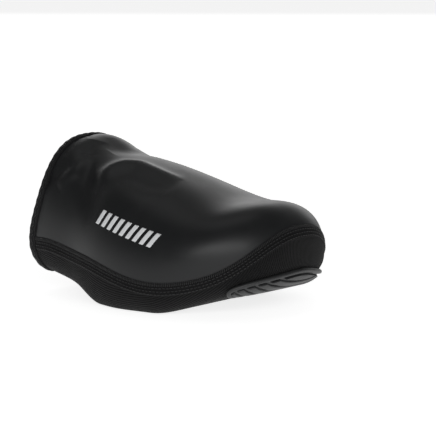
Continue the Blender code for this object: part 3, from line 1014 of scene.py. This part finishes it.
def elastic_tape():
    """Knitted elastic tape: fine ribs across it and a dull, slightly fuzzy face, with painted shade
    in the hollows of the knit.
    """
    material, tree, shader = new_material("elastane_tape_knitted")
    pattern = add_node(tree, "ShaderNodeAttribute", attribute_name="tape_place")
    flat = add_node(tree, "ShaderNodeSeparateXYZ", {"Vector": pattern.outputs["Vector"]})

    across_turn = add_node(
        tree, "ShaderNodeMath", {0: flat.outputs["Y"], 1: 2 * np.pi / TAPE_ROW}, operation="MULTIPLY"
    ).outputs[0]
    along_turn = add_node(
        tree, "ShaderNodeMath", {0: flat.outputs["X"], 1: 2 * np.pi / TAPE_LOOP}, operation="MULTIPLY"
    ).outputs[0]
    across = add_node(tree, "ShaderNodeMath", {0: across_turn}, operation="SINE").outputs[0]
    along = add_node(tree, "ShaderNodeMath", {0: along_turn}, operation="SINE").outputs[0]
    weave = add_node(tree, "ShaderNodeMath", {0: across, 1: along}, operation="MULTIPLY").outputs[0]
    bump = add_node(
        tree, "ShaderNodeBump", {"Height": weave, "Strength": 0.5, "Distance": 0.12 * MM}
    )
    tree.links.new(bump.outputs["Normal"], shader.inputs["Normal"])
    # painted shade: the knit is coloured darker where its weave is low, in its hollows
    shade = add_node(tree, "ShaderNodeMapRange", {"Value": weave, "From Min": -1.0})
    colour = add_node(
        tree,
        "ShaderNodeMix",
        {"Factor": shade.outputs["Result"], "A": linear("#060607"), "B": linear("#121213")},
        data_type="RGBA",
    )
    tree.links.new(colour.outputs["Result"], shader.inputs["Base Color"])
    shader.inputs["Roughness"].default_value = 0.8
    shader.inputs["Specular IOR Level"].default_value = 0.25
    shader.inputs["Sheen Weight"].default_value = 0.05
    return material


TAPE_CORNERS = (
    (TAPE_WIDTH, -0.2),
    (TAPE_WIDTH, 0.35),
    (TAPE_WIDTH - 0.25, 0.75),
    (TAPE_WIDTH - 0.8, 0.85),
    (TAPE_WIDTH - 1.5, 0.7),
    (TAPE_WIDTH - 2.3, 1.0),
    (3.0, 1.2),
    (1.5, 1.3),
    (0.0, 1.3),
    (-0.8, 0.9),
    (-1.35, 0.1),
    (-1.5, -0.9),
    (-1.35, -1.9),
    (-0.8, -2.7),
    (0.0, -3.1),
    (2.0, -3.1),
    (TAPE_WIDTH - 0.4, -3.0),
    (TAPE_WIDTH, -2.6),
    (TAPE_WIDTH, -2.0),
)


def tape_point(forward, outward, turn):
    """Points of the tape's ring: turn is 0 to 1 up the outer side and 1 to 2 down the inner one."""
    turn, forward, outward = np.broadcast_arrays(turn, forward, outward)
    side = np.where(turn < 1, -1.0, 1.0)
    share = np.where(turn < 1, turn, 2 - turn)
    station = REAR_EDGE + np.maximum(forward, 0)
    column = column_at(station, 1) * side
    arc = share * along_columns(FULL_ARC, column)
    ahead = skin_at(column_at(station + 1, 1) * side, arc) - skin_at(column, arc)
    ahead /= np.linalg.norm(ahead, axis=-1, keepdims=True)
    return skin_at(column, arc, outward) + ahead * np.minimum(forward, 0)[..., None]


tape_turn = np.linspace(0, 2, 400, endpoint=False)
ring_line = tape_point(2.0, 0.0, tape_turn)
ring_run = np.concatenate([[0], np.cumsum(np.linalg.norm(np.diff(ring_line, axis=0), axis=1))])
ring_length = ring_run[-1] + np.linalg.norm(ring_line[0] - ring_line[-1])
zigzags = int(round(ring_length / ZIGZAG_PITCH))
pucker = 0.12 * np.cos(2 * np.pi * zigzags * ring_run / ring_length)
corners = np.array(TAPE_CORNERS + TAPE_CORNERS[:1])
puff = np.where(corners[:, 1] > 0, 1.0, 0.0)[None] * pucker[:, None]
tape_points = tape_point(corners[None, :, 0], corners[None, :, 1] + puff, tape_turn[:, None])
corner_run = np.concatenate([[0], np.cumsum(np.linalg.norm(np.diff(corners, axis=0), axis=1))])
tape_place = np.stack(np.broadcast_arrays(ring_run[:, None], corner_run[None]), axis=-1)
tape_faces = grid_quads(len(tape_turn), len(corners), ring=True)
tape = new_piece(
    "folded_collar_tape",
    tape_points.reshape(-1, 3),
    tape_faces,
    elastic_tape(),
    node="collar_binding",
    slot="elastic_tape",
    merge=0.01,
    tape_place=tape_place.reshape(-1, 2),
)
smooth = tape.modifiers.new("smooth", "SUBSURF")
smooth.levels = 1
smooth.render_levels = 1
print("tape ring:", round(ring_length), "mm,", zigzags, "zigzags, triangles:", triangles(tape))

# %% Zigzag on the tape
zig_run = np.arange(2 * zigzags + 1) * ring_length / (2 * zigzags)
zig = np.interp(zig_run, np.append(ring_run, ring_length), np.append(tape_turn, 2))
zig_forward = np.where(np.arange(len(zig)) % 2 == 0, 1.6, TAPE_WIDTH - 1.4)
zig_points = tape_point(zig_forward, 1.12, np.minimum(zig, 1.9999))
zig_out = tape_point(zig_forward, 2.12, np.minimum(zig, 1.9999)) - zig_points
zig_part = stitches(zig_points[:-1], zig_points[1:], zig_out[:-1], 0.25, 0.1, rings=9)
zigzag = thread_piece("zigzag_stitches", [zig_part])
print("zigzag triangles:", triangles(zigzag))

# %% [markdown]
# ## Toe guard
#
# A moulded rubber guard is bonded under the toe: a raised rim, a narrow channel inside it and ribs
# that run from side to side. It is shaped on the flat pattern, where the ribs are simple arcs, and
# then laid on the toe.

# %% Guard on the flat pattern
GUARD_REAR = 140.5
GUARD_WIDEST = 146.0
GUARD_TIP = 174.7
GUARD_HALF = 44.3
GUARD_MIDDLE = 2.0
GUARD_SQUARE = 1.73
GUARD_THICK = 2.2
GUARD_BASE = 0.9
GUARD_FEATHER = 0.35
GUARD_RAMP = 16.0
RIM_WIDTH = 2.3
CHANNEL_WIDTH = 1.1
GROOVES = 5
FIRST_GROOVE = 6.5
GUARD_PITCH = 4.8
GROOVE_WIDTH = 1.2


def moulded_rubber():
    """Moulded synthetic rubber: dark grey, fairly dull, with the fine grain of the mould."""
    material, tree, shader = new_material("synthetic_rubber_moulded")
    place = add_node(tree, "ShaderNodeTexCoord").outputs["Object"]
    grain = add_node(
        tree, "ShaderNodeTexNoise", {"Vector": place, "Scale": 1 / (0.3 * MM), "Detail": 2.0}
    )
    bump = add_node(
        tree,
        "ShaderNodeBump",
        {"Height": grain.outputs["Fac"], "Strength": 0.3, "Distance": 0.05 * MM},
    )
    tree.links.new(bump.outputs["Normal"], shader.inputs["Normal"])
    shader.inputs["Base Color"].default_value = linear("#1e1f20")
    shader.inputs["Roughness"].default_value = 0.5
    return material


def rear_arc(across):
    """Rear edge of the guard on the flat pattern: a parabola bowed to the rear."""
    return GUARD_REAR + (GUARD_WIDEST - GUARD_REAR) * (across / GUARD_HALF) ** 2


def guard_outline(inset, count=600):
    """Half a superellipse and the rear arc, smoothed, then moved inwards along its normals."""
    turn = np.linspace(-1, 1, 37) * np.pi / 2
    power = 2 / GUARD_SQUARE
    front_x = GUARD_WIDEST + (GUARD_TIP - GUARD_WIDEST) * np.abs(np.cos(turn)) ** power
    front_y = GUARD_HALF * np.sign(turn) * np.abs(np.sin(turn)) ** power
    across = np.linspace(1, -1, 23)[1:-1] * GUARD_HALF
    line = np.concatenate([np.c_[front_x, front_y], np.c_[rear_arc(across), across]])
    for _ in range(6):
        line = (np.roll(line, 1, axis=0) + 2 * line + np.roll(line, -1, axis=0)) / 4
    closed = np.concatenate([line, line[:1]])
    run = np.concatenate([[0], np.cumsum(np.linalg.norm(np.diff(closed, axis=0), axis=1))])
    even = np.linspace(0, run[-1], count, endpoint=False)
    line = np.stack([np.interp(even, run, closed[:, i]) for i in range(2)], axis=1)
    for _ in range(40):
        line = (np.roll(line, 1, axis=0) + 2 * line + np.roll(line, -1, axis=0)) / 4
    ahead = np.roll(line, -1, axis=0) - np.roll(line, 1, axis=0)
    ahead /= np.linalg.norm(ahead, axis=1, keepdims=True)
    inward = np.stack([-ahead[:, 1], ahead[:, 0]], axis=1)
    return line + [0, GUARD_MIDDLE] + inset * inward


def swell(along):
    """Share of the full height: GUARD_FEATHER at the rear edge, one from GUARD_RAMP ahead of it."""
    share = np.clip((along - GUARD_REAR) / GUARD_RAMP, 0, 1)
    return GUARD_FEATHER + (1 - GUARD_FEATHER) * share * share * (3 - 2 * share)


def laid_on_toe(flat, height):
    """Lays flat points on the toe: their angle round the ball picks the column."""
    radius = np.hypot(flat[..., 0] - BALL, flat[..., 1])
    turn = np.arctan2(np.abs(flat[..., 1]), flat[..., 0] - BALL) / (np.pi / 2)
    column = np.where(flat[..., 1] < 0, -1, 1) * turn * FAN_SHARE
    return skin_at(column, radius, GAP + height * swell(flat[..., 0]))


outer_line = guard_outline(0)
print("guard outline in mm:", outer_line.min(axis=0).round(1), outer_line.max(axis=0).round(1))

# %% Rim, base sheet and ribs
RIM_PROFILE = (
    (0.0, 0.0),
    (0.0, 0.95),
    (0.12, 1.5),
    (0.45, 1.98),
    (0.9, 2.18),
    (1.35, 2.2),
    (1.8, 2.02),
    (2.12, 1.65),
    (2.28, 1.2),
    (2.32, 0.3),
    (2.32, 0.0),
)


def rim_part():
    """The rim: its rounded profile carried round the outline, and closed below."""
    profile = RIM_PROFILE + RIM_PROFILE[:1]
    loops = [laid_on_toe(guard_outline(inset), height) for inset, height in profile]
    grid = np.stack(loops, axis=1)
    return grid.reshape(-1, 3), grid_quads(len(grid), len(profile), ring=True)


def ends_of_ribs(inset, rib_place):
    """Where a line of constant rib place leaves the outline on the outer and the inner side."""
    line = guard_outline(inset)
    place = line[:, 0] - rear_arc(line[:, 1])
    tip = int(np.argmax(place))
    line = np.roll(line, -tip, axis=0)
    place = np.roll(place, -tip)
    inner = slice(0, int(np.argmax(line[:, 1])) + 1)
    outer = slice(int(np.argmin(line[:, 1])), len(line))
    inner_end = np.interp(rib_place, place[inner][::-1], line[inner, 1][::-1])
    outer_end = np.interp(rib_place, place[outer], line[outer, 1])
    return outer_end, inner_end


def furthest_rib(inset):
    """The largest rib place inside an outline."""
    line = guard_outline(inset)
    return float((line[:, 0] - rear_arc(line[:, 1])).max()) - 0.02


def rib_part(start, end, inset, low, high, rounding, across=14, along=90):
    """One closed bar between two rib places, with rounded edges and ends.

    Its height is low plus the product of two quarter rounds, one over each distance to an edge.
    """
    end = min(end, furthest_rib(inset))
    near = rounding * (1 - np.cos(np.linspace(0, np.pi / 2, 5)))
    width = end - start
    middle_steps = np.linspace(rounding, width - rounding, across)[1:-1]
    steps = np.concatenate([near, middle_steps, width - near[::-1]])
    place = start + steps
    outer_end, inner_end = ends_of_ribs(inset, place)
    length = np.maximum(inner_end - outer_end, 0.01)
    middle = np.linspace(0, 1, along)
    share = 0.5 - 0.5 * np.cos(np.pi * middle)
    y = outer_end[:, None] + share[None] * length[:, None]
    x = rear_arc(y) + place[:, None]
    edge = np.minimum(steps, width - steps)[:, None]
    end_distance = np.minimum(share, 1 - share)[None] * length[:, None]

    def quarter(distance):
        inside = np.clip(distance / rounding, 0, 1)
        return np.sqrt(np.clip(1 - (1 - inside) ** 2, 0, 1))

    height = low + (high - low) * quarter(edge) * quarter(end_distance)
    flat = np.stack([x, y], axis=-1)
    top = laid_on_toe(flat, height)
    bottom = laid_on_toe(flat, np.full_like(height, low))
    rows, columns = x.shape
    faces = grid_quads(rows, columns)
    return gathered([(top.reshape(-1, 3), faces[:, ::-1]), (bottom.reshape(-1, 3), faces)])


OVERLAP = 0.4
RIB_ROUND = 0.6
PAST_THE_TIP = 99.0
field = RIM_WIDTH + CHANNEL_WIDTH
grooves = FIRST_GROOVE + GUARD_PITCH * np.arange(GROOVES)
starts = np.concatenate([[field], grooves + GROOVE_WIDTH / 2])
ends = np.concatenate([grooves - GROOVE_WIDTH / 2, [PAST_THE_TIP]])
sheet_inset = RIM_WIDTH - OVERLAP
base_sheet = rib_part(sheet_inset, PAST_THE_TIP, sheet_inset, 0.0, GUARD_BASE, 0.05, across=60)
guard_parts = [rim_part(), base_sheet]
for start, end in zip(starts, ends):
    guard_parts.append(rib_part(start, end, field, GUARD_BASE - OVERLAP, GUARD_THICK, RIB_ROUND))
guard_points, guard_faces = gathered(guard_parts)
guard = new_piece(
    "ribbed_toe_guard",
    guard_points,
    guard_faces,
    moulded_rubber(),
    node="toe_guard",
    slot="moulded_rubber",
    merge=0.002,
)
print("guard triangles:", triangles(guard))

# %% [markdown]
# ## Reflective print
#
# The outer side carries a thin screen print for visibility. Here it is a plain row of slanted bars.
# Each bar is a small raised sheet that lies on the creased upper.

# %% Build the print
PRINT_MIDDLE = (90.4, 46.0)
PRINT_SLOPE = np.radians(-12)
PRINT_LENGTH = 44.0
PRINT_HEIGHT = 8.5
BARS = 9
BAR_SHARE = 0.62
BAR_SLANT = 0.35
PRINT_THICK = 0.12
PRINT_SUNK = -0.05


def reflective_print():
    """Silver-grey screen print with glass beads: pale, matt, and lit softly from any side."""
    material, tree, shader = new_material("reflective_ink_screen_printed")
    place = add_node(tree, "ShaderNodeTexCoord").outputs["Object"]
    beads = add_node(
        tree, "ShaderNodeTexNoise", {"Vector": place, "Scale": 1 / (0.2 * MM), "Detail": 2.0}
    )
    colour = add_node(
        tree,
        "ShaderNodeMix",
        {"Factor": beads.outputs["Fac"], "A": linear("#c9cbcd"), "B": linear("#e6e7e8")},
        data_type="RGBA",
    )
    tree.links.new(colour.outputs["Result"], shader.inputs["Base Color"])
    shader.inputs["Roughness"].default_value = 0.45
    return material


def find_on_side(along, height, tries=12):
    """Column and arc of the outer side's point at a place along and up, by Newton's method."""
    column = np.full(np.shape(along), float(column_at(85.0, -1)))
    arc = np.full(np.shape(along), 97.0)
    for _ in range(tries):
        here = skin_at(column, arc)
        by_column = (skin_at(column + 0.002, arc) - here) / 0.002
        by_arc = (skin_at(column, arc + 0.5) - here) / 0.5
        miss_x = along - here[..., 0]
        miss_z = height - here[..., 2]
        spread = by_column[..., 0] * by_arc[..., 2] - by_column[..., 2] * by_arc[..., 0]
        column = column + (miss_x * by_arc[..., 2] - miss_z * by_arc[..., 0]) / spread
        arc = arc + (miss_z * by_column[..., 0] - miss_x * by_column[..., 2]) / spread
    return column, arc


def on_upper(column, arc, out):
    """Points over the creased upper."""
    base = skin_at(column, arc)
    normal = skin_at(column, arc, 1.0) - base
    return base + normal * (crease_push(base, normal) + out)[..., None]


def bar_part(number):
    """One bar: a small grid, slanted, with a top at the print's thickness and sides sunk in."""
    pitch = PRINT_LENGTH / (BARS - 1 + BAR_SHARE)
    run = np.linspace(0, 1, 9)[:, None]
    rise = np.linspace(0, 1, 12)[None]
    local_z = (rise - 0.5) * PRINT_HEIGHT + 0 * run
    local_x = (number + run * BAR_SHARE) * pitch - PRINT_LENGTH / 2 + local_z * BAR_SLANT
    along = PRINT_MIDDLE[0] + local_x * np.cos(PRINT_SLOPE) - local_z * np.sin(PRINT_SLOPE)
    height = PRINT_MIDDLE[1] + local_x * np.sin(PRINT_SLOPE) + local_z * np.cos(PRINT_SLOPE)
    column, arc = find_on_side(along, height)
    rim = (run == 0) | (run == 1) | (rise == 0) | (rise == 1)
    top = on_upper(column, arc, np.where(rim, PRINT_SUNK, PRINT_THICK))
    bottom = on_upper(column, arc, np.full(rim.shape, PRINT_SUNK))
    faces = grid_quads(*rim.shape)
    return gathered([(top.reshape(-1, 3), faces), (bottom.reshape(-1, 3), faces[:, ::-1])])


print_points, print_faces = gathered([bar_part(number) for number in range(BARS)])
bars = new_piece("reflective_bars", print_points, print_faces, reflective_print(), merge=0.002)
print("print triangles:", triangles(bars))
